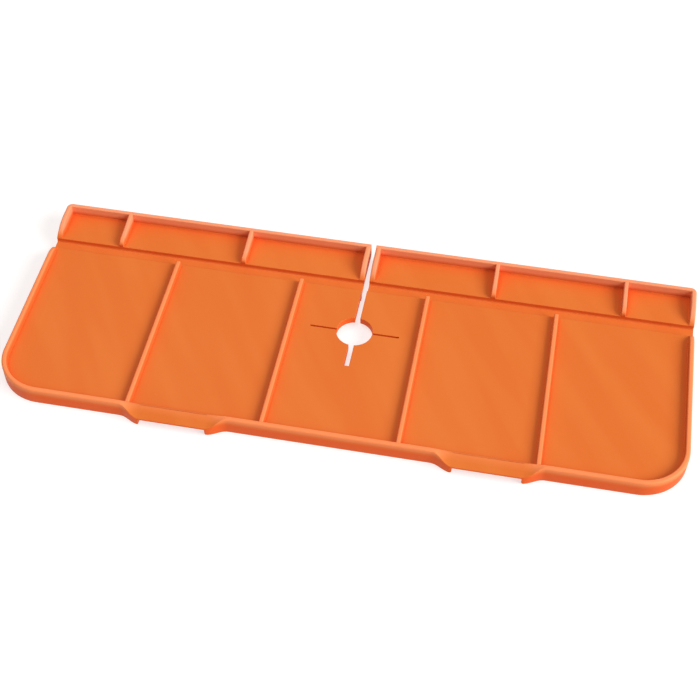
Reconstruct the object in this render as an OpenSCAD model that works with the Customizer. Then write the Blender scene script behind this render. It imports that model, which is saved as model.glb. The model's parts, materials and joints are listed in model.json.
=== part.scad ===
// Silicone tap splash guard: a shallow drip tray with a folding rear flap and a slit tap hole.
// +Z is up and the worktop is at z = 0. +Y points to the wall behind the tap.
// The origin is the middle of the footprint, on the worktop.

/* [Tray] */
// Width over the side walls
overall_w = 370; // [340:1:450]
// Fold line to the outside of the front wall
tray_depth = 110.5; // [100:0.5:140]
// Thickness of the floor sheet
floor_t = 4.1; // [3.5:0.1:5]
// Clear height under the floor sheet
foot_h = 2.9; // [2:0.1:5]
// Height of the outer walls above the floor
rim_h = 3.6; // [3.2:0.1:6]
// Thickness of the outer walls
wall_t = 2.6; // [2:0.1:3.2]
// Outside radius of the two front corners
corner_r = 25.5; // [15:0.5:35]

/* [Tray ribs] */
// Thickness of a tray rib
rib_t = 2.3; // [1.8:0.1:3]
// Height of a tray rib above the floor
rib_h = 3; // [2:0.1:3.2]
// Spacing of the tray ribs
rib_pitch = 72.6; // [70:0.1:76]

/* [Tap hole] */
// Diameter of the hole before it stretches
hole_d = 20; // [18:0.5:24]
// Fold line to the centre of the hole
hole_back = 35; // [32:0.5:45]
// Reach of the slits from the centre of the hole
slit_reach = 25; // [22:0.5:28]
// Width of the front and rear slits
wide_slit = 3; // [2:0.1:4]
// Width of the side slits
thin_slit = 1; // [0.8:0.1:1.5]
// How far a lobe lifts when a tap passes, in degrees
lobe_lift = 30; // [10:1:35]

/* [Spouts] */
// Centre of a spout, from the middle of the tray
spout_x = 83.5; // [80:0.5:86]
// Width of the straight lip edge
lip_w = 36; // [24:0.5:44]
// Width of the front wall that a spout takes up
mouth_w = 59.8; // [52:0.2:64]
// How far the lip stands out from the front wall
spout_reach = 4.2; // [2:0.1:8]
// Drop from the floor to the lip edge
lip_drop = 1.7; // [0.5:0.1:2.4]
// Thickness of the lip at its edge
lip_t = 1.3; // [0.8:0.1:1.6]
// Thickness of the lip where it leaves the front wall
lip_root_t = 2.3; // [1.8:0.1:3]

/* [Flap] */
// Fold line to the back edge of the flap
flap_len = 27.8; // [24:0.2:40]
// Height of the flap walls above its floor
flap_wall_h = 5.9; // [4:0.1:6]
// Thickness of the flap walls
flap_wall_t = 2.8; // [2:0.1:3]
// Height of a flap rib at the fold end
flap_rib_low = 3.2; // [2:0.1:3.8]
// Inner flap rib, from the middle
inner_rib_x = 72.5; // [60:0.5:85]
// Outer flap rib, from the middle
outer_rib_x = 145.7; // [130:0.1:150]

/* [Fold] */
// Width of the moulded groove at the fold
groove_w = 7.4; // [7.2:0.1:10]
// Thickness of the web left under the groove
web_t = 1.3; // [1:0.1:1.6]

/* [Hidden] */
silicone = "#e97738";

half_w = overall_w / 2;
floor_top = foot_h + floor_t;
rim_top = floor_top + rim_h;
total_depth = tray_depth + spout_reach + flap_len;
fold_y = total_depth / 2 - flap_len;
front_y = fold_y - tray_depth;
back_y = fold_y + flap_len;
floor_front_y = front_y + wall_t;
floor_back_y = fold_y - groove_w / 2;
panel_front_y = fold_y + groove_w / 2;
panel_back_y = back_y - flap_wall_t;
foot_t = wall_t;
hole_y = fold_y - hole_back;
corner_y = front_y + corner_r;
corner_x = half_w - corner_r;

lip_y = front_y - spout_reach;
lip_top = floor_top - lip_drop;

// Height of the pouring slope where it passes over the outer face of the front wall.
slope_at_wall = rim_top - (rim_top - lip_top) * wall_t / (wall_t + spout_reach);
mouth_in = spout_x - mouth_w / 2;
mouth_out = spout_x + mouth_w / 2;
lip_in = spout_x - lip_w / 2;
lip_out = spout_x + lip_w / 2;
curve_steps = 10;

// A wall end starts at 45 degrees on the groove edge and rounds over to its full height.
end_slope = 45;
end_rise = 1 - cos(end_slope);
flap_rib_round = 1.6;

lobe_gap = 0.3;
lobe_hinge = slit_reach / sqrt(2);
lobe_relief = lobe_lift + 3;

// One step of a soft S-curve from 0 to 1.
function ease(t) = (1 - cos(180 * t)) / 2;

// Points of an arc from angle a to angle b.
function arc(x, y, r, a, b) = [for (i = [0 : curve_steps])
    let (t = a + (b - a) * i / curve_steps) [x + r * cos(t), y + r * sin(t)]];

// Repeats a left-hand shape on the right.
module side(s) {
    if (s < 0) children();
    else mirror([1, 0, 0]) children();
}

// Extrudes a profile drawn in (distance from the fold, height) over x0 to x1.
module along_x(x0, x1) {
    translate([x0, 0, 0]) rotate([90, 0, 90]) linear_extrude(x1 - x0) children();
}

// A flat block between two corners in plan.
module slab(x0, x1, y0, y1, z0, z1) {
    translate([x0, y0, z0]) cube([x1 - x0, y1 - y0, z1 - z0]);
}

// Profile of a wall that rounds over towards the fold. It runs from 0 at the groove edge to len.
module rounded_wall(len, base, top, rise) {
    r = rise / end_rise;
    polygon(concat([[0, base]], [[0, top - rise]], arc(r * sin(end_slope), top - r, r, 90 + end_slope, 90),
        [[len, top]], [[len, base]]));
}

// ---- Tray floor ----

module bay_floor() {
    inner_x = rib_pitch / 2;
    color(silicone) slab(-inner_x - rib_pitch, -inner_x, floor_front_y, floor_back_y, foot_h, floor_top);
}

module end_floor() {
    outer_x = half_w - wall_t;
    inner_x = 1.5 * rib_pitch;
    r = corner_r - wall_t;
    color(silicone) translate([0, 0, foot_h]) linear_extrude(floor_t) union() {
        translate([-outer_x, corner_y]) square([outer_x - inner_x, floor_back_y - corner_y]);
        translate([-corner_x, floor_front_y]) square([corner_x - inner_x, corner_y - floor_front_y]);
        intersection() {
            translate([-corner_x, corner_y]) circle(r, $fn = 96);
            translate([-outer_x, floor_front_y]) square(r);
        }
    }
}

module centre_floor() {
    half_bay = rib_pitch / 2;
    color(silicone) difference() {
        slab(-half_bay, half_bay, floor_front_y, floor_back_y, foot_h, floor_top);
        translate([0, hole_y, 0]) rotate(end_slope)
            cube([2 * lobe_hinge, 2 * lobe_hinge, 4 * floor_top], center = true);
        slab(-wide_slit / 2, wide_slit / 2, hole_y, fold_y, 0, rim_top);
    }
}

// ---- Lobes round the tap hole ----

// The lobe ahead of the hole on the right. Its outer edge is relieved so that it can lift.
module lobe() {
    reach = slit_reach;
    edge = lobe_hinge - lobe_gap;
    color(silicone) translate([0, 0, foot_h]) intersection() {
        linear_extrude(floor_t) difference() {
            translate([wide_slit / 2, thin_slit / 2]) square(reach);
            circle(d = hole_d, $fn = 96);
        }
        rotate([90, 0, -end_slope + 90]) translate([0, 0, -reach]) linear_extrude(2 * reach)
            polygon([[0, 0], [edge, 0], [edge - floor_t * tan(lobe_relief), floor_t], [0, floor_t]]);
    }
}

module placed_lobe(sx, sy) {
    translate([0, hole_y, 0]) mirror([sx < 0 ? 1 : 0, 0, 0]) mirror([0, sy < 0 ? 1 : 0, 0]) lobe();
}

// ---- Outer walls and feet ----

module side_wall() {
    run = floor_back_y - corner_y;
    color(silicone) translate([0, floor_back_y, 0]) mirror([0, 1, 0])
        along_x(-half_w, -half_w + wall_t) rounded_wall(run, 0, rim_top, rim_h);
}

module corner_wall() {
    color(silicone) translate([-corner_x, corner_y, 0]) intersection() {
        difference() {
            cylinder(h = rim_top, r = corner_r, $fn = 96);
            translate([0, 0, -1]) cylinder(h = rim_top + 2, r = corner_r - wall_t, $fn = 96);
        }
        translate([-corner_r, -corner_r, 0]) cube([corner_r, corner_r, rim_top]);
    }
}

module front_wall(x0, x1) {
    color(silicone) slab(x0, x1, front_y, floor_front_y, 0, rim_top);
}

module rear_foot() {
    color(silicone) slab(-half_w + wall_t, -wide_slit / 2, floor_back_y - foot_t, floor_back_y, 0, foot_h);
}

// ---- Tray ribs ----

module tray_rib(x) {
    color(silicone)
        slab(x - rib_t / 2, x + rib_t / 2, floor_front_y, floor_back_y, floor_top, floor_top + rib_h);
}

// ---- Pouring spouts, drawn on the left ----

// Plan of a cheek wall that leaves the front wall at x0 and reaches the lip at x1.
module cheek_plan(x0, x1) {
    steps = [for (i = [0 : curve_steps]) i / curve_steps];
    outer = [for (t = steps) [x0 + (x1 - x0) * t, front_y - spout_reach * ease(t)]];
    inner = [for (t = steps) [x0 + (x1 - x0) * (1 - t), floor_front_y - spout_reach * ease(1 - t)]];
    polygon(concat(outer, inner));
}

// Everything under the pouring slope, in a section of the spout from front to back.
module under_slope() {
    along_x(-mouth_out, -mouth_in) polygon([[floor_front_y, 0], [floor_front_y, rim_top],
        [lip_y, lip_top], [lip_y, 0]]);
}

// A cheek is as high as the rim where it leaves the front wall, and comes down to the lip at its tip.
module cheek(x0, x1) {
    tip_drop = rim_top - lip_top;
    steps = [for (i = [0 : curve_steps]) i / curve_steps];
    top = [for (t = steps) [x0 + (x1 - x0) * t, rim_top - tip_drop * ease(t)]];
    color(silicone) intersection() {
        linear_extrude(rim_top) cheek_plan(x0, x1);
        union() {
            translate([0, floor_front_y, 0]) rotate([90, 0, 0]) linear_extrude(spout_reach + 2 * wall_t)
                polygon(concat([[x0, 0]], top, [[x1, 0]]));
            under_slope();
        }
    }
}

// The front wall runs on between the cheeks, and its top slopes out over it to the lip.
module spout_lip() {
    steps = [for (i = [0 : curve_steps]) i / curve_steps];
    tip_back_y = floor_front_y - spout_reach;
    outer = [for (t = steps) [-mouth_out + (mouth_out - lip_out) * t, floor_front_y - spout_reach * ease(t)]];
    inner = [for (t = steps) [-lip_in + (lip_in - mouth_in) * t, tip_back_y + spout_reach * ease(t)]];
    color(silicone) intersection() {
        linear_extrude(rim_top) polygon(concat(outer, [[-lip_out, lip_y]], [[-lip_in, lip_y]], inner));
        along_x(-mouth_out, -mouth_in) polygon([[floor_front_y, 0], [floor_front_y, rim_top], [lip_y, lip_top],
            [lip_y, lip_top - lip_t], [front_y, slope_at_wall - lip_root_t], [front_y, 0]]);
    }
}

// ---- Fold and flap, drawn on the left ----

module fold_web() {
    color(silicone) slab(-half_w, -wide_slit / 2, floor_back_y, panel_front_y, foot_h, foot_h + web_t);
}

module flap_panel() {
    color(silicone) slab(-half_w, -wide_slit / 2, panel_front_y, panel_back_y, foot_h, floor_top);
}

module flap_back_wall() {
    color(silicone) slab(-half_w, -wide_slit / 2, panel_back_y, back_y, foot_h, floor_top + flap_wall_h);
}

// A wall across the flap at x0, rounded over at the fold end.
module flap_end_wall(x0) {
    color(silicone) translate([0, panel_front_y, 0]) along_x(x0, x0 + flap_wall_t)
        rounded_wall(panel_back_y - panel_front_y, floor_top, floor_top + flap_wall_h, flap_wall_h);
}

// A rib across the flap. Its top falls a little towards the fold.
module flap_rib(x) {
    run = panel_back_y - panel_front_y;
    low = floor_top + flap_rib_low;
    r = flap_rib_round;
    color(silicone) translate([0, panel_front_y, 0]) along_x(x - rib_t / 2, x + rib_t / 2)
        polygon(concat([[0, floor_top]], arc(r, low - r, r, 180, 90),
            [[run, floor_top + flap_wall_h]], [[run, floor_top]]));
}

// ---- Nodes ----

end_floor();  // end_floor_left
side(1) end_floor();  // end_floor_right
bay_floor();  // bay_floor_left
side(1) bay_floor();  // bay_floor_right
centre_floor();
side_wall();  // side_wall_left
side(1) side_wall();  // side_wall_right
corner_wall();  // corner_wall_left
side(1) corner_wall();  // corner_wall_right
front_wall(-corner_x, -mouth_out);  // front_wall_left
front_wall(-mouth_in, mouth_in);  // front_wall_centre
side(1) front_wall(-corner_x, -mouth_out);  // front_wall_right
rear_foot();  // rear_foot_left
side(1) rear_foot();  // rear_foot_right
tray_rib(-1.5 * rib_pitch);  // tray_rib_1
tray_rib(-rib_pitch / 2);  // tray_rib_2
tray_rib(rib_pitch / 2);  // tray_rib_3
tray_rib(1.5 * rib_pitch);  // tray_rib_4
spout_lip();  // spout_lip_left
side(1) spout_lip();  // spout_lip_right
cheek(-mouth_out, -lip_out);  // spout_cheek_outer_left
side(1) cheek(-mouth_out, -lip_out);  // spout_cheek_outer_right
cheek(-mouth_in, -lip_in);  // spout_cheek_inner_left
side(1) cheek(-mouth_in, -lip_in);  // spout_cheek_inner_right
placed_lobe(-1, -1);  // lobe_front_left
placed_lobe(1, -1);  // lobe_front_right
placed_lobe(-1, 1);  // lobe_rear_left
placed_lobe(1, 1);  // lobe_rear_right
fold_web();  // fold_web_left
side(1) fold_web();  // fold_web_right
flap_panel();  // flap_panel_left
side(1) flap_panel();  // flap_panel_right
flap_back_wall();  // flap_back_wall_left
side(1) flap_back_wall();  // flap_back_wall_right
flap_end_wall(-half_w);  // flap_end_wall_left
side(1) flap_end_wall(-half_w);  // flap_end_wall_right
flap_end_wall(-wide_slit / 2 - flap_wall_t);  // flap_slit_wall_left
side(1) flap_end_wall(-wide_slit / 2 - flap_wall_t);  // flap_slit_wall_right
flap_rib(-inner_rib_x);  // flap_inner_rib_left
side(1) flap_rib(-inner_rib_x);  // flap_inner_rib_right
flap_rib(-outer_rib_x);  // flap_outer_rib_left
side(1) flap_rib(-outer_rib_x);  // flap_outer_rib_right
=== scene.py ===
import json
import math

import bmesh
import bpy
from mathutils import Matrix, Vector


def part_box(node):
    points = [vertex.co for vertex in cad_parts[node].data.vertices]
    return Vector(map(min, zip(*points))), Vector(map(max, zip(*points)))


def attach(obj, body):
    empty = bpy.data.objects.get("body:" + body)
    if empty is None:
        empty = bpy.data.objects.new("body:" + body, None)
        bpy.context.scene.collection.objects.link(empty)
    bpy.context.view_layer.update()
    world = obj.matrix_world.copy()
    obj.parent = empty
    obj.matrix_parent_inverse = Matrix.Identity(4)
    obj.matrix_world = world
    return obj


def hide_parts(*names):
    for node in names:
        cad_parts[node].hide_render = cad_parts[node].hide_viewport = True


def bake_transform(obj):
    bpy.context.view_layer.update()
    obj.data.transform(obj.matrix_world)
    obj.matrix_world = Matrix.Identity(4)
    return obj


bl_info = {
    "name": "Tap Splash Guard",
    "version": (1, 0, 0),
    "blender": (4, 5, 0),
    "location": "View3D > Sidebar > Splash Guard",
    "description": "Builds a silicone tap splash guard round its packed frame",
    "category": "Add Mesh",
}

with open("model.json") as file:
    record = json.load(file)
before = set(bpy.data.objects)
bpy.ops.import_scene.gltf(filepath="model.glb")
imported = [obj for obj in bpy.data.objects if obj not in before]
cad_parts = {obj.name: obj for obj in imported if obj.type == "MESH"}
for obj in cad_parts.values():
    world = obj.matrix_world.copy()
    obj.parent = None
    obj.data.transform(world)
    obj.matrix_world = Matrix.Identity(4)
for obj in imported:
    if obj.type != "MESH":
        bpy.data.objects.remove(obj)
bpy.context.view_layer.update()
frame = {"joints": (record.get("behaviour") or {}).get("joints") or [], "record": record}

MM = 0.001
MERGE = 1e-6  # Points closer than this become one.
NOTHING = 1e-7  # A length shorter than this counts as none.
SINK = 0.15 * MM  # How far a wall's foot goes into the sheet, so that no gap shows.
SMOOTH_ANGLE = math.radians(38)  # Faces that meet at a wider angle keep a crisp edge.
WALL_START = math.radians(45)  # How steeply a wall rises from the fold, so the flap can fold to 90.
ROUND_STEPS = 5  # Steps in a rounded edge.
SIDES = (("left", -1), ("right", 1))


# ---- Sizes read from the frame ----

def low(node):
    """Lowest corner of a frame node."""
    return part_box(node)[0]


def high(node):
    """Highest corner of a frame node."""
    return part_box(node)[1]


HALF_WIDTH = high("side_wall_right").x
WALL = HALF_WIDTH - low("side_wall_right").x
SHEET_BASE = low("centre_floor").z
SHEET_TOP = high("centre_floor").z
RIM_TOP = high("front_wall_centre").z
FRONT_Y = low("front_wall_centre").y
FLOOR_FRONT_Y = high("front_wall_centre").y
FLOOR_BACK_Y = high("centre_floor").y
CORNER_X = low("corner_wall_right").x
CORNER_Y = high("corner_wall_right").y
PANEL_FRONT_Y = low("flap_panel_right").y
PANEL_BACK_Y = high("flap_panel_right").y
BACK_Y = high("flap_back_wall_right").y
FLAP_TOP = high("flap_back_wall_right").z
FLAP_WALL = BACK_Y - PANEL_BACK_Y
SLIT_X = low("flap_panel_right").x
MOUTH_OUT = high("spout_lip_right").x
MOUTH_IN = low("spout_lip_right").x
LIP_OUT = low("spout_cheek_outer_right").x
LIP_IN = high("spout_cheek_inner_right").x
LIP_Y = low("spout_lip_right").y
WEB_TOP = high("fold_web_right").z
THIN_SLIT = low("lobe_rear_right").y - high("lobe_front_right").y
HOLE_Y = (low("lobe_rear_right").y + high("lobe_front_right").y) / 2
LOBE_JOINT = next(j for j in frame["joints"] if j["name"] == "front_right_lobe_lift")
SLIT_REACH = 2 * LOBE_JOINT["pos_m"][0]
HOLE_RADIUS = next(m for m in frame["record"]["mounts"] if m["name"] == "tap_hole")["dims"]["r_mm"] * MM


# ---- Settings ----

class SplashGuardSizes(bpy.types.PropertyGroup):
    """Edge and lip sizes that the frame leaves square."""

    outer_crest: bpy.props.FloatProperty(
        name="Outer crest radius", description="Rounding of a rim's outer top edge",
        default=1.1 * MM, min=0.1 * MM, max=1.5 * MM, precision=5, unit="LENGTH")
    inner_crest: bpy.props.FloatProperty(
        name="Inner crest radius", description="Rounding of a rim's inner top edge",
        default=0.6 * MM, min=0.1 * MM, max=1.0 * MM, precision=5, unit="LENGTH")
    root_fillet: bpy.props.FloatProperty(
        name="Root fillet", description="Fillet where a wall or rib stands on the sheet",
        default=0.6 * MM, min=0.1 * MM, max=1.0 * MM, precision=5, unit="LENGTH")
    rib_crest: bpy.props.FloatProperty(
        name="Rib crest radius", description="Rounding along the top of a rib",
        default=0.6 * MM, min=0.1 * MM, max=1.0 * MM, precision=5, unit="LENGTH")
    foot_round: bpy.props.FloatProperty(
        name="Foot radius", description="Rounding along the bottom of the skirt",
        default=0.5 * MM, min=0.1 * MM, max=1.0 * MM, precision=5, unit="LENGTH")
    sheet_edge: bpy.props.FloatProperty(
        name="Sheet edge radius", description="Rounding of the sheet along the fold groove",
        default=0.4 * MM, min=0.1 * MM, max=0.8 * MM, precision=5, unit="LENGTH")
    cut_edge: bpy.props.FloatProperty(
        name="Cut edge radius", description="Softening round the tap hole and its slits",
        default=0.2 * MM, min=0.05 * MM, max=0.4 * MM, precision=5, unit="LENGTH")
    groove_fillet: bpy.props.FloatProperty(
        name="Groove fillet", description="Fillet at each side of the fold web",
        default=1.2 * MM, min=0.2 * MM, max=1.2 * MM, precision=5, unit="LENGTH")
    lip_height: bpy.props.FloatProperty(
        name="Lip height", description="Height of a spout's lip edge over the worktop",
        default=5.3 * MM, min=4.5 * MM, max=6.5 * MM, precision=5, unit="LENGTH")
    lip_thickness: bpy.props.FloatProperty(
        name="Lip thickness", description="Thickness of a spout's lip at its edge",
        default=1.3 * MM, min=0.8 * MM, max=1.6 * MM, precision=5, unit="LENGTH")
    lip_edge: bpy.props.FloatProperty(
        name="Lip edge radius", description="Rounding of a spout's lip edge",
        default=0.45 * MM, min=0.1 * MM, max=0.6 * MM, precision=5, unit="LENGTH")
    tip_round: bpy.props.FloatProperty(
        name="Tip radius", description="Rounding under the tip of a spout's cheek",
        default=1.3 * MM, min=0.2 * MM, max=2.0 * MM, precision=5, unit="LENGTH")


class SplashGuardColours(bpy.types.PropertyGroup):
    """Colours of the moulding and the stage, as sRGB hex."""

    silicone: bpy.props.StringProperty(
        name="Silicone", description="Body colour of the pigmented silicone", default="#DF732F")
    # Painted reflection: paler slanting streaks painted on the floors in place of soft reflections.
    silicone_reflection_streaks: bpy.props.StringProperty(
        name="Flow marks", description="Paler streaks left where the silicone flowed", default="#E17934")
    # Painted shade: the darker red painted into inner corners, where shade falls.
    silicone_corner_shade: bpy.props.StringProperty(
        name="Inner corners", description="Red of the light that has passed through silicone",
        default="#DC5822")
    # Painted shade: the deeper red painted on the low, steep outer faces, which get less light.
    silicone_outer_face_shade: bpy.props.StringProperty(
        name="Outer faces", description="Deeper red of the low, steep faces", default="#E05A10")
    # Painted highlight: the paler colour painted on the crests, most where they face up to the light.
    silicone_crest_highlight: bpy.props.StringProperty(
        name="Crests", description="Thin crests, which let light through", default="#F89058")
    # Painted highlight: the paler colour painted on the flap's walls, on their faces as on their crests.
    silicone_flap_wall_highlight: bpy.props.StringProperty(
        name="Flap walls", description="The flap's free-standing walls, which let the most light through",
        default="#F59C70")
    worktop: bpy.props.StringProperty(
        name="Worktop", description="Pale studio surface", default="#ADADAD")


def sizes():
    """The size settings of the scene."""
    return bpy.context.scene.splash_guard_sizes


def colours():
    """The colour settings of the scene."""
    return bpy.context.scene.splash_guard_colours


# ---- Materials ----

def linear(code):
    """An sRGB hex colour as linear RGBA."""
    parts = [int(code[i:i + 2], 16) / 255 for i in (1, 3, 5)]
    return [c / 12.92 if c <= 0.04045 else ((c + 0.055) / 1.055) ** 2.4 for c in parts] + [1.0]


def add_node(tree, kind, settings=None, inputs=None):
    """Adds a node to a tree, with its settings, and with inputs that are values or sockets to link from."""
    node = tree.nodes.new(kind)
    for key, value in (settings or {}).items():
        setattr(node, key, value)
    for key, value in (inputs or {}).items():
        if isinstance(value, bpy.types.NodeSocket):
            tree.links.new(value, node.inputs[key])
        else:
            node.inputs[key].default_value = value
    return node


def silicone_material():
    """Silicone rubber, compression moulded with a fine satin texture.

    It reads as a soft even colour with a broad low gloss. Painted light and shade go into its colour: faint
    slanting streaks on the wide floors as painted reflections, painted highlights on the crests and the
    flap's walls, and painted shade in the inner corners and on the low outer faces.
    """
    name = "silicone_rubber_moulded_satin"
    found = bpy.data.materials.get(name)
    if found:
        return found
    paint = colours()
    material = bpy.data.materials.new(name)
    material.use_nodes = True
    tree = material.node_tree
    tree.nodes.clear()
    place = add_node(tree, "ShaderNodeTexCoord").outputs["Object"]
    spot = add_node(tree, "ShaderNodeSeparateXYZ", None, {"Vector": place}).outputs
    normal = add_node(tree, "ShaderNodeNewGeometry").outputs["Normal"]
    upward = add_node(tree, "ShaderNodeSeparateXYZ", None, {"Vector": normal}).outputs["Z"]
    tilt = add_node(tree, "ShaderNodeMath", {"operation": "ABSOLUTE"}, {0: upward}).outputs["Value"]
    # The AO node finds the inner corners for the painted corner shade.
    occlusion = add_node(tree, "ShaderNodeAmbientOcclusion", {"samples": 12}, {"Distance": 12 * MM})

    # Painted reflection: paler streaks about 14 mm apart and 90 mm long slant across the floors, in place of
    # soft reflections.
    slant = add_node(tree, "ShaderNodeMapping", None,
                     {"Rotation": (0, 0, math.radians(-32)), "Vector": place})
    drawn_out = add_node(tree, "ShaderNodeMapping", None,
                         {"Scale": (1 / (14 * MM), 1 / (90 * MM), 1 / (30 * MM)),
                          "Vector": slant.outputs["Vector"]})
    reflection_streaks = add_node(tree, "ShaderNodeTexNoise", None,
                    {"Scale": 1.0, "Detail": 1.5, "Roughness": 0.5, "Vector": drawn_out.outputs["Vector"]})
    # The mould's satin texture is near 0.2 mm grit, drawn at 0.7 mm so that it shows.
    grit = add_node(tree, "ShaderNodeTexNoise", None,
                    {"Scale": 1 / (0.7 * MM), "Detail": 3.0, "Roughness": 0.6, "Vector": place})
    # The gloss is uneven over about 14 mm.
    skin = add_node(tree, "ShaderNodeTexNoise", None,
                    {"Scale": 1 / (14 * MM), "Detail": 2.0, "Roughness": 0.5, "Vector": place})

    # The distance sideways from the middle of the nearer spout.
    off_spout = spot["X"]
    for operation, amount in (("ABSOLUTE", 0), ("SUBTRACT", (LIP_IN + LIP_OUT) / 2), ("ABSOLUTE", 0)):
        off_spout = add_node(tree, "ShaderNodeMath", {"operation": operation},
                             {0: off_spout, 1: amount}).outputs["Value"]

    # Each share goes from its least to its most as its source goes from start to end.
    shares = {}
    for key, source, start, end, least, most in (
        ("reflection_streaks", reflection_streaks.outputs["Fac"], 0.38, 0.66, 0, 1),
        ("gloss", skin.outputs["Fac"], 0.3, 0.7, 0.44, 0.54),
        # Every crest stands 3 mm or more over the sheet, so its height tells it from the floors, and the
        # crests take a painted highlight.
        ("raised", spot["Z"], SHEET_TOP + 0.4 * MM, SHEET_TOP + 2.8 * MM, 0, 1),
        # Painted highlight: faces that turn upwards to the light take more of the paler crest colour.
        ("level", upward, -1.3, 0.8, 0, 1),
        # Painted shade: inner corners found by the AO are painted a darker red, for the shade there and the
        # redder light bounced between silicone faces.
        ("occluded", occlusion.outputs["AO"], 0.95, 0.5, 0, 0.85),
        ("inside", spot["Z"], WEB_TOP - 2.5 * MM, SHEET_TOP - 0.1 * MM, 0, 1),
        # Painted shade: steep faces below the sheet, the tray's outer faces, are painted a deeper red for the
        # shade that falls on them.
        ("low", spot["Z"], SHEET_TOP + 1.2 * MM, SHEET_TOP - 1.2 * MM, 0, 1),
        ("steep", tilt, 0.7, 0.15, 0, 1),
        ("forward", spot["Y"], FLOOR_BACK_Y - 1 * MM, FLOOR_BACK_Y - 6 * MM, 0, 1),
        # Painted highlight: on the flap the walls take the painted highlight on their faces as on their
        # crests, in a paler colour of their own.
        ("on flap", spot["Y"], PANEL_FRONT_Y + 1 * MM, PANEL_FRONT_Y + 6 * MM, 0, 1),
        # The spout slopes are solid down to the skirt; on them the painted crest highlight falls to 0.4 of
        # its strength.
        ("beside spout", off_spout, (LIP_OUT - LIP_IN) / 2, (MOUTH_OUT - MOUTH_IN) / 2, 0.4, 1),
        ("behind spout", spot["Y"], FLOOR_FRONT_Y, FLOOR_FRONT_Y + 0.5 * MM, 0, 1),
    ):
        shares[key] = add_node(tree, "ShaderNodeMapRange", None,
                               {"Value": source, "From Min": start, "From Max": end,
                                "To Min": least, "To Max": most}).outputs["Result"]
    for key, operation, first, second in (
        ("painted_corner_shade", "MULTIPLY", "occluded", "inside"),
        ("low and steep", "MULTIPLY", "low", "steep"),
        ("painted_outer_face_shade", "MULTIPLY", "low and steep", "forward"),
        ("lit", "MAXIMUM", "level", "on flap"),
        ("raised and lit", "MULTIPLY", "raised", "lit"),
        ("off spout", "MAXIMUM", "beside spout", "behind spout"),
        ("crest", "MULTIPLY", "raised and lit", "off spout"),
    ):
        shares[key] = add_node(tree, "ShaderNodeMath", {"operation": operation},
                               {0: shares[first], 1: shares[second]}).outputs["Value"]

    # Painted light and shade go into the base colour below: reflection streaks, corner shade, outer-face
    # shade and crest highlights.
    highlight_colour = add_node(tree, "ShaderNodeMix", {"data_type": "RGBA"},
                    {"Factor": shares["on flap"], "A": linear(paint.silicone_crest_highlight),
                     "B": linear(paint.silicone_flap_wall_highlight)}).outputs["Result"]
    colour = linear(paint.silicone)
    for key, over in (("reflection_streaks", linear(paint.silicone_reflection_streaks)), ("painted_corner_shade", linear(paint.silicone_corner_shade)),
                      ("painted_outer_face_shade", linear(paint.silicone_outer_face_shade)), ("crest", highlight_colour)):
        colour = add_node(tree, "ShaderNodeMix", {"data_type": "RGBA"},
                          {"Factor": shares[key], "A": colour, "B": over}).outputs["Result"]
    bump = add_node(tree, "ShaderNodeBump", None,
                    {"Strength": 0.35, "Distance": 0.03 * MM, "Height": grit.outputs["Fac"]})
    shader = add_node(tree, "ShaderNodeBsdfPrincipled", None,
                      {"Base Color": colour, "Roughness": shares["gloss"], "IOR": 1.41,
                       "Specular IOR Level": 0.24, "Normal": bump.outputs["Normal"]})
    add_node(tree, "ShaderNodeOutputMaterial", None, {"Surface": shader.outputs["BSDF"]})
    return material


def worktop_material():
    """Opal acrylic light table, cast and lightly frosted.

    It is an even white with no marks to distract, and gives off some light of its own.
    """
    material = bpy.data.materials.new("opal_acrylic_frosted")
    material.use_nodes = True
    tree = material.node_tree
    tree.nodes.clear()
    place = add_node(tree, "ShaderNodeTexCoord").outputs["Object"]
    frost = add_node(tree, "ShaderNodeTexNoise", None, {"Scale": 30.0, "Vector": place})
    gloss = add_node(tree, "ShaderNodeMapRange", None,
                     {"Value": frost.outputs["Fac"], "To Min": 0.75, "To Max": 0.85})
    shader = add_node(tree, "ShaderNodeBsdfPrincipled", None,
                      {"Base Color": linear(colours().worktop), "Roughness": gloss.outputs["Result"],
                       "Specular IOR Level": 0.1, "Emission Color": (1.0, 1.0, 1.0, 1.0),
                       "Emission Strength": 0.66})
    add_node(tree, "ShaderNodeOutputMaterial", None, {"Surface": shader.outputs["BSDF"]})
    return material


# ---- Mesh making ----

def ease(t):
    """One step of a soft S-curve from 0 to 1."""
    return (1 - math.cos(math.pi * t)) / 2


def rounded_outline(corners, steps=ROUND_STEPS):
    """Points of a closed outline from (y, z, radius) corners. A corner with no radius stays sharp."""
    points = []
    count = len(corners)
    for i, (y, z, radius) in enumerate(corners):
        here = Vector((y, z))
        if radius <= 0:
            points.append(here)
            continue
        back = (Vector(corners[i - 1][:2]) - here).normalized()
        ahead = (Vector(corners[(i + 1) % count][:2]) - here).normalized()
        turn = back.angle(ahead)
        reach = radius / math.tan(turn / 2)
        centre = here + (back + ahead).normalized() * (radius / math.sin(turn / 2))
        first, last = here + back * reach - centre, here + ahead * reach - centre
        sweep = first.angle_signed(last)
        for k in range(steps + 1):
            angle = -sweep * k / steps
            c, s = math.cos(angle), math.sin(angle)
            points.append(centre + Vector((first.x * c - first.y * s, first.x * s + first.y * c)))
    return points


def keep_level(mesh):
    """Keeps a sheet's level faces from taking shade from its rounded edges."""
    level_from = 0.9999
    build = bmesh.new()
    build.from_mesh(mesh)
    for edge in build.edges:
        level = [abs(face.normal.z) > level_from for face in edge.link_faces]
        if any(level) and not all(level):
            edge.smooth = False
    build.to_mesh(mesh)
    build.free()


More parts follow.
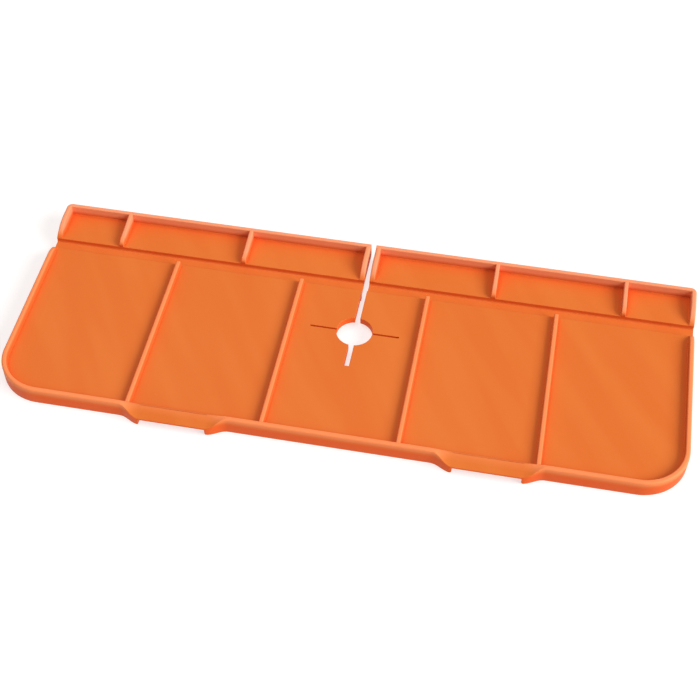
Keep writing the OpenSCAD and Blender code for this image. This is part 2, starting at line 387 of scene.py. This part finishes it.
def new_piece(name, mesh, body, nodes, bend=None, level=False):
    """Finishes a mesh as a named piece that rides on a body; a piece given a bend stays unattached, where it
    is.
    """
    if not mesh.polygons:
        raise RuntimeError(f"{name} came out with no faces")
    mesh.name = name
    mesh.shade_smooth()
    mesh.set_sharp_from_angle(angle=SMOOTH_ANGLE)
    if level:
        keep_level(mesh)
    piece = bpy.data.objects.new(name, mesh)
    bpy.context.scene.collection.objects.link(piece)
    if not mesh.materials:
        mesh.materials.append(silicone_material())
    if bend:
        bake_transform(piece)
    else:
        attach(piece, body)
    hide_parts(*nodes)
    return piece


def closed_mesh(build):
    """A mesh from a bmesh whose doubles are merged and whose faces point outwards."""
    bmesh.ops.remove_doubles(build, verts=build.verts, dist=MERGE)
    bmesh.ops.dissolve_degenerate(build, edges=build.edges, dist=NOTHING)
    bmesh.ops.recalc_face_normals(build, faces=build.faces)
    mesh = bpy.data.meshes.new("piece")
    build.to_mesh(mesh)
    build.free()
    return mesh


def lofted(sections):
    """A closed mesh through a row of (x, outline) sections, each an outline of (y, z) points."""
    build = bmesh.new()
    rings = [[build.verts.new((x, p.x, p.y)) for p in outline] for x, outline in sections]
    count = len(rings[0])
    for ring, following in zip(rings, rings[1:]):
        for i in range(count):
            j = (i + 1) % count
            build.faces.new((ring[i], ring[j], following[j], following[i]))
    build.faces.new(rings[0])
    build.faces.new(reversed(rings[-1]))
    return closed_mesh(build)


def sheet(outline, base, top, soft, radius, cuts=()):
    """A flat sheet from an outline in plan. It rounds the edges soft() picks; cuts add rows to bend at."""
    least_turn = 0.5  # Radians. An edge that turns less is part of a curve, and isn't rounded.
    build = bmesh.new()
    face = build.faces.new([build.verts.new((x, y, top)) for x, y in outline])
    for point, normal in cuts:
        bmesh.ops.bisect_plane(build, geom=build.verts[:] + build.edges[:] + build.faces[:],
                               plane_co=point, plane_no=normal, dist=NOTHING)
    raised = bmesh.ops.extrude_face_region(build, geom=build.faces[:])
    moved = [g for g in raised["geom"] if isinstance(g, bmesh.types.BMVert)]
    bmesh.ops.translate(build, verts=moved, vec=(0, 0, base - top))
    bmesh.ops.recalc_face_normals(build, faces=build.faces)
    picked = [e for e in build.edges
              if abs(e.verts[0].co.z - e.verts[1].co.z) < NOTHING and soft(e.verts[0].co, e.verts[1].co)
              and e.calc_face_angle(0) > least_turn]
    bmesh.ops.bevel(build, geom=picked, offset=radius, segments=3, profile=0.5,
                    affect="EDGES", clamp_overlap=True)
    return closed_mesh(build)


# ---- Walls and ribs, swept by Geometry Nodes ----

# Corners of a section, each a side, a level and a rounding, named as in the tree's measures.
RIM_SECTION = (
    ("outer", "Depth", "Foot Radius"), ("outer", "top", "Outer Crest"), ("inner", "top", "Inner Crest"),
    ("inner", "sheet", "Root Fillet"), ("inner foot", "sheet", None), ("inner foot", "sunk", None),
    ("inner", "sunk", None), ("inner", "Depth", "Skirt Radius"),
)
RIB_SECTION = (
    ("outer foot", "sunk", None), ("outer foot", "sheet", None), ("outer", "sheet", "Root Fillet"),
    ("outer", "top", "Outer Crest"), ("inner", "top", "Inner Crest"), ("inner", "sheet", "Root Fillet"),
    ("inner foot", "sheet", None), ("inner foot", "sunk", None),
)
TREE_INPUTS = (
    ("Thickness", "NodeSocketFloat"), ("Height", "NodeSocketFloat"), ("Depth", "NodeSocketFloat"),
    ("Sheet Top", "NodeSocketFloat"), ("Outer Crest", "NodeSocketFloat"),
    ("Inner Crest", "NodeSocketFloat"), ("Root Fillet", "NodeSocketFloat"),
    ("Foot Radius", "NodeSocketFloat"), ("Skirt Radius", "NodeSocketFloat"),
    ("Count", "NodeSocketInt"), ("Spacing", "NodeSocketFloat"), ("Material", "NodeSocketMaterial"),
)


def swept_wall_tree(name, section):
    """A node tree that sweeps a wall section along a path, and repeats it in a row.

    The path's "crest" attribute is the height over the sheet at each point, so a wall can round over.
    """
    tree = bpy.data.node_groups.new(name, "GeometryNodeTree")
    tree.interface.new_socket(name="Path", in_out="INPUT", socket_type="NodeSocketGeometry")
    for label, kind in TREE_INPUTS:
        tree.interface.new_socket(name=label, in_out="INPUT", socket_type=kind)
    tree.interface.new_socket(name="Walls", in_out="OUTPUT", socket_type="NodeSocketGeometry")
    given = add_node(tree, "NodeGroupInput").outputs
    position = add_node(tree, "GeometryNodeInputPosition").outputs["Position"]
    spot = add_node(tree, "ShaderNodeSeparateXYZ", None, {"Vector": position}).outputs
    crest = add_node(tree, "GeometryNodeInputNamedAttribute", {"data_type": "FLOAT"}, {"Name": "crest"})

    # The section is drawn with its depth upwards, which is the way a sweep takes it.
    # After the sweep, heights above the sheet shrink to the crest, and the skirt keeps its depth.
    measures = {label: given[label] for label, kind in TREE_INPUTS}
    measures.update({"sheet": 0.0, "sunk": SINK, "crest": crest.outputs["Attribute"], "z": spot["Z"]})
    for key, operation, first, second in (
        ("outer", "MULTIPLY", "Thickness", 0.5),
        ("inner", "MULTIPLY", "Thickness", -0.5),
        ("outer foot", "ADD", "outer", "Root Fillet"),
        ("inner foot", "SUBTRACT", "inner", "Root Fillet"),
        ("top", "MULTIPLY", "Height", -1.0),
        ("share", "DIVIDE", "crest", "Height"),
        ("over sheet", "SUBTRACT", "z", "Sheet Top"),
        ("above", "MAXIMUM", "over sheet", 0.0),
        ("below", "MINIMUM", "over sheet", 0.0),
        ("shrunk", "MULTIPLY", "above", "share"),
        ("rise", "ADD", "shrunk", "below"),
        ("level", "ADD", "rise", "Sheet Top"),
    ):
        measures[key] = add_node(tree, "ShaderNodeMath", {"operation": operation},
                                 {0: measures[first], 1: measures.get(second, second)}).outputs["Value"]

    index = add_node(tree, "GeometryNodeInputIndex").outputs["Index"]
    places = add_node(tree, "GeometryNodeIndexSwitch", {"data_type": "VECTOR"}, {"Index": index})
    rounds = add_node(tree, "GeometryNodeIndexSwitch", {"data_type": "FLOAT"}, {"Index": index})
    for switch in (places, rounds):
        while len(switch.index_switch_items) < len(section):
            switch.index_switch_items.new()
    for k, (side, level, radius) in enumerate(section):
        corner = add_node(tree, "ShaderNodeCombineXYZ", None, {"X": measures[side], "Y": measures[level]})
        tree.links.new(corner.outputs["Vector"], places.inputs[f"{k}"])
        if radius:
            tree.links.new(measures[radius], rounds.inputs[f"{k}"])

    row = add_node(tree, "GeometryNodeMeshLine", None, {"Count": len(section)})
    loop = add_node(tree, "GeometryNodeMeshToCurve", None, {"Mesh": row.outputs["Mesh"]})
    ring = add_node(tree, "GeometryNodeSetSplineCyclic", None,
                    {"Geometry": loop.outputs["Curve"], "Cyclic": True})
    drawn = add_node(tree, "GeometryNodeSetPosition", None,
                     {"Geometry": ring.outputs["Geometry"], "Position": places.outputs["Output"]})
    rounded = add_node(tree, "GeometryNodeFilletCurve", {"mode": "POLY"},
                       {"Curve": drawn.outputs["Geometry"], "Radius": rounds.outputs["Output"],
                        "Count": ROUND_STEPS, "Limit Radius": True})

    path = add_node(tree, "GeometryNodeMeshToCurve", None, {"Mesh": given["Path"]})
    upright = add_node(tree, "GeometryNodeSetCurveNormal", {"mode": "Z_UP"}, {"Curve": path.outputs["Curve"]})
    swept = add_node(tree, "GeometryNodeCurveToMesh", None,
                     {"Curve": upright.outputs["Curve"], "Profile Curve": rounded.outputs["Curve"],
                      "Fill Caps": True})
    shaped_at = add_node(tree, "ShaderNodeCombineXYZ", None,
                         {"X": spot["X"], "Y": spot["Y"], "Z": measures["level"]})
    shaped = add_node(tree, "GeometryNodeSetPosition", None,
                      {"Geometry": swept.outputs["Mesh"], "Position": shaped_at.outputs["Vector"]})

    step = add_node(tree, "ShaderNodeCombineXYZ", None, {"X": given["Spacing"]})
    spots = add_node(tree, "GeometryNodeMeshLine", None,
                     {"Count": given["Count"], "Offset": step.outputs["Vector"]})
    copies = add_node(tree, "GeometryNodeInstanceOnPoints", None,
                      {"Points": spots.outputs["Mesh"], "Instance": shaped.outputs["Geometry"]})
    real = add_node(tree, "GeometryNodeRealizeInstances", None, {"Geometry": copies.outputs["Instances"]})
    painted = add_node(tree, "GeometryNodeSetMaterial", None,
                       {"Geometry": real.outputs["Geometry"], "Material": given["Material"]})
    add_node(tree, "NodeGroupOutput", None, {"Walls": painted.outputs["Geometry"]})
    return tree


def swept_mesh(tree, path, values):
    """The plain mesh that a tree makes along a path of (x, y, crest) points."""
    line = bpy.data.meshes.new("path")
    line.from_pydata([(x, y, SHEET_TOP) for x, y, crest in path],
                     [(i, i + 1) for i in range(len(path) - 1)], [])
    heights = line.attributes.new("crest", "FLOAT", "POINT")
    heights.data.foreach_set("value", [crest for x, y, crest in path])
    host = bpy.data.objects.new("path", line)
    bpy.context.scene.collection.objects.link(host)
    modifier = host.modifiers.new("sweep", "NODES")
    modifier.node_group = tree
    sockets = {s.name: s.identifier for s in tree.interface.items_tree if s.in_out == "INPUT"}
    for label, value in values.items():
        modifier[sockets[label]] = value
    modifier[sockets["Sheet Top"]] = SHEET_TOP
    modifier[sockets["Material"]] = silicone_material()
    graph = bpy.context.evaluated_depsgraph_get()
    made = bpy.data.meshes.new_from_object(host.evaluated_get(graph))
    bpy.data.objects.remove(host)
    build = bmesh.new()
    build.from_mesh(made)
    bmesh.ops.remove_doubles(build, verts=build.verts, dist=MERGE)
    bmesh.ops.recalc_face_normals(build, faces=build.faces)
    build.to_mesh(made)
    build.free()
    spent = made.attributes.get("crest")
    if spent:
        made.attributes.remove(spent)
    return made


def rounded_over(distance, rise):
    """Height of a wall at a distance from the fold, where it starts steep and rounds over to its rise."""
    least = 0.02 * MM
    radius = rise / (1 - math.cos(WALL_START))
    short = max(0.0, radius * math.sin(WALL_START) - distance)
    return max(least, rise - radius + math.sqrt(radius ** 2 - short ** 2))


def rounding_steps(rise):
    """Distances from the fold over a wall's rounded end, closest together where it starts."""
    run = rise / math.tan(WALL_START / 2)
    count, crowding = 24, 1.3
    return [run * (k / count) ** crowding for k in range(count + 1)]


def arc_points(cx, cy, radius, first, last, steps):
    """Points of an arc in plan, with angles in degrees."""
    angles = [math.radians(first + (last - first) * k / steps) for k in range(steps + 1)]
    return [(cx + radius * math.cos(a), cy + radius * math.sin(a)) for a in angles]


def along(start, end, steps):
    """Points from start to end in plan."""
    return [(start[0] + (end[0] - start[0]) * k / steps, start[1] + (end[1] - start[1]) * k / steps)
            for k in range(steps + 1)]


def rectangle(x_ends, y_ends):
    """Corners of a rectangle in plan, anticlockwise."""
    x, y = sorted(x_ends), sorted(y_ends)
    return [(x[0], y[0]), (x[1], y[0]), (x[1], y[1]), (x[0], y[1])]


def merged(*runs):
    """Joins runs of points, without the repeats where they meet."""
    joined = []
    for run in runs:
        for point in run:
            if not joined or (Vector(point) - Vector(joined[-1])).length > NOTHING:
                joined.append(point)
    return joined


# ---- Operators ----

class SPLASHGUARD_OT_floors(bpy.types.Operator):
    """Lays the five floors of the tray and the two panels of the flap"""

    bl_idname = "splashguard.floors"
    bl_label = "Floors and flap panels"

    def execute(self, context):
        edge = sizes().sheet_edge
        half_rib = (high("tray_rib_3").x - low("tray_rib_3").x) / 2
        near, far = high("tray_rib_3").x - half_rib, high("tray_rib_4").x - half_rib
        inside = HALF_WIDTH - WALL
        corner_steps = 40

        def on_groove(a, b):
            return a.z > SHEET_TOP - MERGE and min(a.y, b.y) > FLOOR_BACK_Y - MERGE

        def on_fold(a, b):
            return a.z > SHEET_TOP - MERGE and max(a.y, b.y) < PANEL_FRONT_Y + MERGE

        for name, s in SIDES:
            bay = rectangle((s * near, s * far), (FLOOR_FRONT_Y, FLOOR_BACK_Y))
            new_piece(f"bay_floor_{name}", sheet(bay, SHEET_BASE, SHEET_TOP, on_groove, edge),
                      "tray", [f"bay_floor_{name}"], level=True)
            turn = [(s * x, y) for x, y in
                    arc_points(CORNER_X, CORNER_Y, inside - CORNER_X, -90, 0, corner_steps)]
            end = [(s * far, FLOOR_FRONT_Y)] + turn + [(s * inside, FLOOR_BACK_Y), (s * far, FLOOR_BACK_Y)]
            new_piece(f"end_floor_{name}", sheet(end, SHEET_BASE, SHEET_TOP, on_groove, edge),
                      "tray", [f"end_floor_{name}"], level=True)
            panel = rectangle((s * (SLIT_X + FLAP_WALL), s * (HALF_WIDTH - FLAP_WALL)),
                              (PANEL_FRONT_Y, PANEL_BACK_Y))
            new_piece(f"flap_panel_{name}", sheet(panel, SHEET_BASE, SHEET_TOP, on_fold, edge),
                      f"{name}_flap", [f"flap_panel_{name}"], level=True)

        half, reach, wide, thin = near, SLIT_REACH, SLIT_X, THIN_SLIT / 2
        right = [(wide, HOLE_Y + reach - wide), (reach - thin, HOLE_Y + thin), (reach, HOLE_Y + thin),
                 (reach, HOLE_Y - thin), (reach - thin, HOLE_Y - thin), (wide, HOLE_Y - reach + wide),
                 (wide, HOLE_Y - reach)]
        left = [(-x, y) for x, y in reversed(right)]
        front = [(-half, FLOOR_FRONT_Y), (half, FLOOR_FRONT_Y)]
        back_right = [(half, FLOOR_BACK_Y), (wide, FLOOR_BACK_Y)]
        back_left = [(-wide, FLOOR_BACK_Y), (-half, FLOOR_BACK_Y)]
        outline = front + back_right + right + left + back_left
        new_piece("centre_floor", sheet(outline, SHEET_BASE, SHEET_TOP, on_groove, edge),
                  "tray", ["centre_floor"], level=True)
        return {"FINISHED"}


class SPLASHGUARD_OT_lobes(bpy.types.Operator):
    """Cuts the four sprung lobes round the tap hole, which bend along the line between the slit ends"""

    bl_idname = "splashguard.lobes"
    bl_label = "Tap hole lobes"

    def execute(self, context):
        reach, wide, thin, hole = SLIT_REACH, SLIT_X, THIN_SLIT / 2, HOLE_RADIUS
        first = -math.degrees(math.asin(thin / hole))
        last = -math.degrees(math.acos(wide / hole))
        hole_steps, bend_steps = 24, 8
        plain = [(wide, wide - reach), (reach - thin, -thin)]
        plain += arc_points(0, 0, hole, first, last, hole_steps)
        hinge = reach / 2
        bend_width = 5 * MM
        for end, t in (("front", -1), ("rear", 1)):
            for across, s in SIDES:
                outline = [(s * x, HOLE_Y - t * y) for x, y in plain]
                outward = Vector((s, t, 0)).normalized()
                start = Vector((s * hinge, HOLE_Y + t * hinge, SHEET_TOP))
                finish = start - outward * bend_width
                cuts = [(start.lerp(finish, k / bend_steps), outward) for k in range(1, bend_steps + 1)]

                def on_cut(a, b):
                    offset = max((start - a).dot(outward), (start - b).dot(outward))
                    return offset > 10 * MERGE and a.z > SHEET_TOP - MERGE

                mesh = sheet(outline, SHEET_BASE, SHEET_TOP, on_cut, sizes().cut_edge, cuts)
                new_piece(f"lobe_{end}_{across}", mesh, f"{end}_{across}_lobe", [f"lobe_{end}_{across}"],
                          (start, finish), level=True)
        return {"FINISHED"}


class SPLASHGUARD_OT_rims(bpy.types.Operator):
    """Sweeps the tray's outer walls along its edge, and the flap's walls round each half of the flap"""

    bl_idname = "splashguard.rims"
    bl_label = "Rims"

    def execute(self, context):
        size = sizes()
        tree = swept_wall_tree("rim_sweep", RIM_SECTION)
        shared = {"Outer Crest": size.outer_crest, "Inner Crest": size.inner_crest,
                  "Root Fillet": size.root_fillet, "Foot Radius": size.foot_round,
                  "Count": 1, "Spacing": 0.0}
        rise = RIM_TOP - SHEET_TOP
        tray = dict(shared, Thickness=WALL, Height=rise, Depth=SHEET_TOP)
        tray["Skirt Radius"] = size.foot_round
        middle = HALF_WIDTH - WALL / 2
        front = (FRONT_Y + FLOOR_FRONT_Y) / 2
        corner_steps = 48
        fold_end = [(middle, FLOOR_BACK_Y - d) for d in reversed(rounding_steps(rise))]
        side = merged(along((MOUTH_OUT, front), (CORNER_X, front), 2),
                      arc_points(CORNER_X, CORNER_Y, middle - CORNER_X, -90, 0, corner_steps), fold_end)
        right = [(x, y, rounded_over(FLOOR_BACK_Y - y, rise)) for x, y in side]
        left = [(-x, y, crest) for x, y, crest in reversed(right)]
        for name, path in (("right", right), ("left", left)):
            new_piece(f"outer_wall_{name}", swept_mesh(tree, path, tray), "tray",
                      [f"side_wall_{name}", f"corner_wall_{name}", f"front_wall_{name}"])
        centre = [(x, y, rise) for x, y in along((-MOUTH_IN, front), (MOUTH_IN, front), 2)]
        new_piece("front_wall_centre", swept_mesh(tree, centre, tray), "tray", ["front_wall_centre"])

        rise = FLAP_TOP - SHEET_TOP
        flap = dict(shared, Thickness=FLAP_WALL, Height=rise, Depth=SHEET_TOP - SHEET_BASE)
        bend, bend_steps = 1.9 * MM, 8
        overlap = 0.4 * MM
        back = BACK_Y - FLAP_WALL / 2
        inner, outer = SLIT_X + FLAP_WALL / 2, HALF_WIDTH - FLAP_WALL / 2
        steps = [PANEL_FRONT_Y + d for d in reversed(rounding_steps(rise))]
        loop = merged([(SLIT_X, back), (outer / 2, back)],
                      arc_points(outer - bend, back - bend, bend, 90, 0, bend_steps),
                      [(outer, y) for y in steps])
        slit = [(inner, y) for y in [PANEL_BACK_Y + overlap] + steps]
        for name, s in SIDES:
            for part, course, walls in (("outer", loop, ("back", "end")), ("slit", slit, ("slit",))):
                path = [(s * x, y, rounded_over(y - PANEL_FRONT_Y, rise)) for x, y in course]
                outer_on_right = (part == "outer") == (s < 0)
                mesh = swept_mesh(tree, path if outer_on_right else path[::-1], flap)
                new_piece(f"flap_{part}_wall_{name}", mesh, f"{name}_flap",
                          [f"flap_{wall}_wall_{name}" for wall in walls])
        return {"FINISHED"}


class SPLASHGUARD_OT_ribs(bpy.types.Operator):
    """Repeats the ribs across the tray and across each half of the flap"""

    bl_idname = "splashguard.ribs"
    bl_label = "Ribs"

    def execute(self, context):
        size = sizes()
        tree = swept_wall_tree("rib_sweep", RIB_SECTION)
        shared = {"Outer Crest": size.rib_crest, "Inner Crest": size.rib_crest,
                  "Root Fillet": size.root_fillet, "Depth": SHEET_TOP - SHEET_BASE}

        def nosed(distance, nose, height):
            short = max(0.0, nose - distance)
            return height - nose + math.sqrt(nose ** 2 - short ** 2)

        first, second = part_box("tray_rib_1"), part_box("tray_rib_2")
        x = (first[0].x + first[1].x) / 2
        spacing = (second[0].x + second[1].x) / 2 - x
        thick, tall = first[1].x - first[0].x, first[1].z - SHEET_TOP
        nose, into_wall = 0.6 * MM, 0.5 * MM
        nose_steps, run_steps = 5, 6
        run = FLOOR_BACK_Y - FLOOR_FRONT_Y + into_wall
        marks = [nose * k / nose_steps for k in range(nose_steps + 1)]
        marks += [run * k / run_steps for k in range(1, run_steps + 1)]
        path = [(x, FLOOR_BACK_Y - d, nosed(d, nose, tall)) for d in marks]
        values = dict(shared, Thickness=thick, Height=tall, Count=4, Spacing=spacing)
        new_piece("tray_ribs", swept_mesh(tree, path, values), "tray", [f"tray_rib_{k}" for k in range(1, 5)])

        # A flap rib starts lower at the fold and climbs to just under the back wall's crest.
        nose, into_wall = 2.6 * MM, 0.9 * MM
        nose_steps, run_steps, crowding = 8, 8, 1.5
        tall, fold_height = FLAP_TOP - SHEET_TOP - 0.03 * MM, 3.2 * MM
        run = PANEL_BACK_Y - PANEL_FRONT_Y
        marks = [nose * (k / nose_steps) ** crowding for k in range(nose_steps + 1)]
        marks += [run * k / run_steps for k in range(1, run_steps + 1)] + [run + into_wall]
        heights = [nosed(d, nose, fold_height + (tall - fold_height) * min(1, d / run)) for d in marks]
        for name, s in SIDES:
            inner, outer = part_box(f"flap_inner_rib_{name}"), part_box(f"flap_outer_rib_{name}")
            x = (inner[0].x + inner[1].x) / 2
            spacing = (outer[0].x + outer[1].x) / 2 - x
            path = [(x, PANEL_FRONT_Y + d, height) for d, height in zip(marks, heights)]
            values = dict(shared, Thickness=thick, Height=tall, Count=2, Spacing=spacing)
            new_piece(f"flap_ribs_{name}", swept_mesh(tree, path, values), f"{name}_flap",
                      [f"flap_inner_rib_{name}", f"flap_outer_rib_{name}"])
        return {"FINISHED"}


class SPLASHGUARD_OT_spouts(bpy.types.Operator):
    """Shapes each spout: the rim's top widens and slopes out to the lip between two curved cheeks"""

    bl_idname = "splashguard.spouts"
    bl_label = "Spouts"

    def execute(self, context):
        size = sizes()
        reach = FRONT_Y - LIP_Y
        drop = RIM_TOP - size.lip_height
        inner_y = FLOOR_FRONT_Y
        slope_steps, cheek_steps = 6, 36
        clear = 1.2  # How many radii the flat of the slope keeps from each rounded edge.
        hurry = 1.6  # How much sooner than the slope the edge's rounding changes.
        # Where a cheek leaves the wall its foot has no width of its own, so it borrows some of the wall's.
        borrowed, borrows_until = 0.7 * MM, 0.02
        root_depth = 2.3 * MM
        under_edge, under_root = 0.3 * MM, 0.6 * MM

        def top_corners(e):
            edge_y, edge_z = FRONT_Y - reach * e, RIM_TOP - drop * e
            crest = size.outer_crest + (size.lip_edge - size.outer_crest) * min(1.0, hurry * e)
            corners = [(inner_y + size.root_fillet, SHEET_TOP, 0), (inner_y, SHEET_TOP, size.root_fillet),
                       (inner_y, RIM_TOP, size.inner_crest)]
            inset, outset = clear * size.inner_crest, clear * crest
            width = inner_y - edge_y
            for k in range(slope_steps + 1):
                t = (inset + (width - inset - outset) * k / slope_steps) / width
                corners.append((inner_y + (edge_y - inner_y) * t, RIM_TOP + (edge_z - RIM_TOP) * t, 0))
            return corners, (edge_y, edge_z, crest)

        tail = [(inner_y, 0.0, size.foot_round), (inner_y, SHEET_TOP - SINK, 0),
                (inner_y + size.root_fillet, SHEET_TOP - SINK, 0)]

        def cheek_outline(e, lift):
            corners, edge = top_corners(e)
            foot_y = FRONT_Y if e > borrows_until else FRONT_Y + borrowed
            foot = [(edge[0], lift, size.foot_round), (foot_y, lift, 0), (foot_y, 0.0, 0)]
            return rounded_outline(corners + [edge] + foot + tail)

        def lip_outline():
            corners, edge = top_corners(1.0)
            root_z = RIM_TOP - drop * WALL / (WALL + reach) - root_depth
            under = [(edge[0], edge[1] - size.lip_thickness, under_edge), (FRONT_Y, root_z, under_root),
                     (FRONT_Y, 0.0, size.foot_round)]
            return rounded_outline(corners + [edge] + under + tail)

        for name, s in SIDES:
            for part, wall_x, tip_x in (("outer", MOUTH_OUT, LIP_OUT), ("inner", MOUTH_IN, LIP_IN)):
                sections = []
                for k in range(cheek_steps + 1):
                    t = k / cheek_steps
                    to_tip = abs(tip_x - wall_x) * (1 - t)
                    short = max(0.0, size.tip_round - to_tip)
                    lift = size.tip_round - math.sqrt(size.tip_round ** 2 - short ** 2)
                    sections.append((s * (wall_x + (tip_x - wall_x) * t), cheek_outline(ease(t), lift)))
                new_piece(f"spout_cheek_{part}_{name}", lofted(sections),
                          "tray", [f"spout_cheek_{part}_{name}"])
            lip = lip_outline()
            new_piece(f"spout_lip_{name}", lofted([(s * LIP_IN, lip), (s * LIP_OUT, lip)]),
                      "tray", [f"spout_lip_{name}"])
        return {"FINISHED"}


class SPLASHGUARD_OT_fold(bpy.types.Operator):
    """Makes the two webs left under the fold groove, which bend, and the feet in front of them"""

    bl_idname = "splashguard.fold"
    bl_label = "Fold webs and feet"

    def execute(self, context):
        size = sizes()
        fillet = size.groove_fillet
        width = PANEL_FRONT_Y - FLOOR_BACK_Y
        turn_steps, flat_steps = 6, 12
        turns = [fillet * (1 - math.cos(math.radians(90 * k / turn_steps))) for k in range(turn_steps + 1)]
        flat = [fillet + (width - 2 * fillet) * k / flat_steps for k in range(1, flat_steps)]
        marks = sorted(turns + flat + [width - d for d in turns])

        def groove_height(d):
            side = max(0.0, fillet - d, d - (width - fillet))
            return WEB_TOP + fillet - math.sqrt(fillet ** 2 - side ** 2)

        top = [Vector((FLOOR_BACK_Y + d, groove_height(d))) for d in marks]
        under = [Vector((FLOOR_BACK_Y + d, SHEET_BASE)) for d in reversed(marks)]
        for name, s in SIDES:
            ends = sorted((s * SLIT_X, s * HALF_WIDTH))
            mesh = lofted([(ends[0], top + under), (ends[1], top + under)])
            new_piece(f"fold_web_{name}", mesh, f"{name}_flap", [f"fold_web_{name}"],
                      ((0, FLOOR_BACK_Y, SHEET_BASE), (0, PANEL_FRONT_Y, SHEET_BASE)))

            lowest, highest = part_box(f"rear_foot_{name}")

            def along_bottom(a, b):
                return a.z < lowest.z + MERGE and abs(a.y - b.y) < MERGE

            block = rectangle((lowest.x, highest.x), (lowest.y, highest.y))
            foot = sheet(block, lowest.z, highest.z, along_bottom, size.foot_round)
            new_piece(f"rear_foot_{name}", foot, "tray", [f"rear_foot_{name}"], level=True)
        return {"FINISHED"}


class SPLASHGUARD_OT_stage(bpy.types.Operator):
    """Sets the pale worktop, the soft lights and the camera"""

    bl_idname = "splashguard.stage"
    bl_label = "Stage, lights and camera"

    def execute(self, context):
        scene = bpy.context.scene
        worktop_reach = 40.0
        build = bmesh.new()
        bmesh.ops.create_grid(build, x_segments=8, y_segments=8, size=worktop_reach)
        mesh = bpy.data.meshes.new("worktop")
        build.to_mesh(mesh)
        build.free()
        mesh.materials.append(worktop_material())
        worktop = bpy.data.objects.new("worktop", mesh)
        scene.collection.objects.link(worktop)

        world = bpy.data.worlds.new("studio")
        scene.world = world
        world.use_nodes = True
        background = world.node_tree.nodes["Background"]
        background.inputs["Color"].default_value = (1.0, 0.74, 0.64, 1.0)
        background.inputs["Strength"].default_value = 0.28

        for name, place, width, height, watts in (
            ("key_softbox", (5.0, -1.0, 3.0), 4.8, 3.0, 395.0),
            ("top_softbox", (-0.5, 0.1, 2.2), 1.6, 1.6, 20.0),
        ):
            light = bpy.data.lights.new(name, "AREA")
            light.shape = "RECTANGLE"
            light.size, light.size_y = width, height
            light.energy = watts
            lamp = bpy.data.objects.new(name, light)
            lamp.location = place
            lamp.rotation_euler = (-Vector(place)).to_track_quat("-Z", "Y").to_euler()
            lamp.visible_camera = False
            scene.collection.objects.link(lamp)

        # The camera stands in front of the tray, a little to its right, and looks down at it.
        azimuth, elevation, roll = math.radians(10.50), math.radians(50.07), math.radians(0.18)
        distance = 0.77699
        target = Vector((-0.00353, 0.01414, -0.01658))
        back = Vector((math.sin(azimuth) * math.cos(elevation), -math.cos(azimuth) * math.cos(elevation),
                       math.sin(elevation)))
        right = Vector((math.cos(azimuth), math.sin(azimuth), 0))
        up = back.cross(right)
        tilted_right = right * math.cos(roll) + up * math.sin(roll)
        tilted_up = up * math.cos(roll) - right * math.sin(roll)
        lens = bpy.data.cameras.new("camera")
        lens.sensor_width, lens.lens = 36.0, 70.06
        lens.clip_start, lens.clip_end = 0.01, 100.0
        camera = bpy.data.objects.new("camera", lens)
        turn = Matrix((tilted_right, tilted_up, back)).transposed().to_4x4()
        camera.matrix_world = Matrix.Translation(target + back * distance) @ turn
        scene.collection.objects.link(camera)
        scene.camera = camera
        scene.view_settings.view_transform = "Standard"
        return {"FINISHED"}


OPERATORS = (
    SPLASHGUARD_OT_floors, SPLASHGUARD_OT_lobes, SPLASHGUARD_OT_rims, SPLASHGUARD_OT_ribs,
    SPLASHGUARD_OT_spouts, SPLASHGUARD_OT_fold, SPLASHGUARD_OT_stage,
)


class SPLASHGUARD_PT_panel(bpy.types.Panel):
    """Lists the sizes, the colours and the operators that build the splash guard"""

    bl_label = "Splash Guard"
    bl_idname = "SPLASHGUARD_PT_panel"
    bl_space_type = "VIEW_3D"
    bl_region_type = "UI"
    bl_category = "Splash Guard"

    def draw(self, context):
        for group in (context.scene.splash_guard_sizes, context.scene.splash_guard_colours):
            box = self.layout.box()
            for key in group.__annotations__:
                box.prop(group, key)
        for operator in OPERATORS:
            self.layout.operator(operator.bl_idname)


CLASSES = (SplashGuardSizes, SplashGuardColours) + OPERATORS + (SPLASHGUARD_PT_panel,)


def register():
    for made in CLASSES:
        bpy.utils.register_class(made)
    bpy.types.Scene.splash_guard_sizes = bpy.props.PointerProperty(type=SplashGuardSizes)
    bpy.types.Scene.splash_guard_colours = bpy.props.PointerProperty(type=SplashGuardColours)


def unregister():
    del bpy.types.Scene.splash_guard_colours
    del bpy.types.Scene.splash_guard_sizes
    for made in reversed(CLASSES):
        bpy.utils.unregister_class(made)


def main():
    register()
    for operator in OPERATORS:
        group, name = operator.bl_idname.split(".")
        getattr(getattr(bpy.ops, group), name)()


if __name__ == "__main__":
    main()
